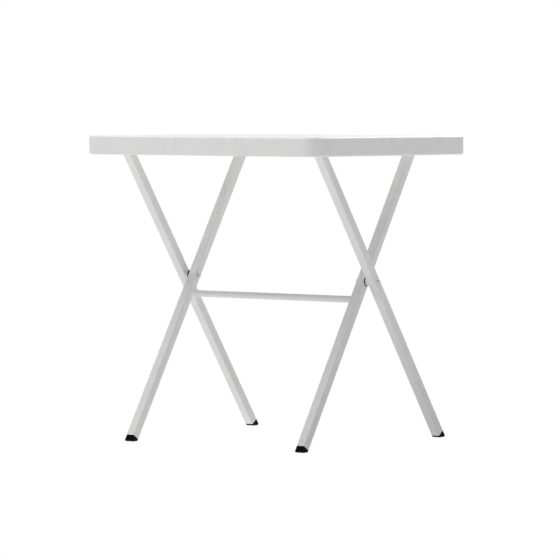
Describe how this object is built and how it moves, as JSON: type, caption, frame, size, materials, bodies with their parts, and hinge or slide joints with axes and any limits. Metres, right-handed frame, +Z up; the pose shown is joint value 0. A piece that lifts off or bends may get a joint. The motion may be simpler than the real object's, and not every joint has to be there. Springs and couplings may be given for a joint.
{
  "type": "folding table",
  "caption": "Square folding table with a pressed steel top and deep apron on crossed square-tube legs that close like scissors.",
  "frame": {"origin": "on the floor, under the middle of the top", "axes": "+Z up; X along the pivots and the crossbar; the crossed legs spread along Y, the outer frame's feet towards +Y"},
  "size_m": [0.665, 0.665, 0.732],
  "materials": {
    "white_powder_coat": "satin powder coat",
    "black_plastic": "moulded, matt",
    "zinc_steel": "zinc plated"
  },
  "bodies": {
    "outer_frame": {"hinge_rod": "white_powder_coat", "outer_cap_left": "black_plastic", "outer_cap_right": "black_plastic", "outer_foot_left": "black_plastic", "outer_foot_right": "black_plastic", "outer_leg_left": "white_powder_coat", "outer_leg_right": "white_powder_coat", "pivot_bolt_left": "zinc_steel", "pivot_bolt_right": "zinc_steel", "pivot_boss_left": "white_powder_coat", "pivot_boss_right": "white_powder_coat", "pivot_nut_left": "zinc_steel", "pivot_nut_right": "zinc_steel", "pivot_spacer_left": "black_plastic", "pivot_spacer_right": "black_plastic", "pivot_washer_left": "zinc_steel", "pivot_washer_right": "zinc_steel"},
    "inner_frame": {"catch_rod": "white_powder_coat", "crossbar": "white_powder_coat", "inner_cap_left": "black_plastic", "inner_cap_right": "black_plastic", "inner_foot_left": "black_plastic", "inner_foot_right": "black_plastic", "inner_leg_left": "white_powder_coat", "inner_leg_right": "white_powder_coat"},
    "top": {"catch_bracket_left": "white_powder_coat", "catch_bracket_right": "white_powder_coat", "hinge_bracket_left": "white_powder_coat", "hinge_bracket_right": "white_powder_coat", "rib_left": "white_powder_coat", "rib_right": "white_powder_coat", "tabletop": "white_powder_coat"}
  },
  "joints": [
    {"name": "leg_pivot", "type": "hinge", "parent": "outer_frame", "child": "inner_frame", "pos_m": [0, 0, 0.3895], "axis": [1, 0, 0], "range_deg": [0, 67]},
    {"name": "top_hinge", "type": "hinge", "parent": "outer_frame", "child": "top", "pos_m": [0, -0.23517, 0.705], "axis": [1, 0, 0], "range_deg": [0, 33.5]}
  ],
  "couplings": [
    {"joint": "top_hinge", "follows": "leg_pivot", "ratio": 0.5}
  ]
}
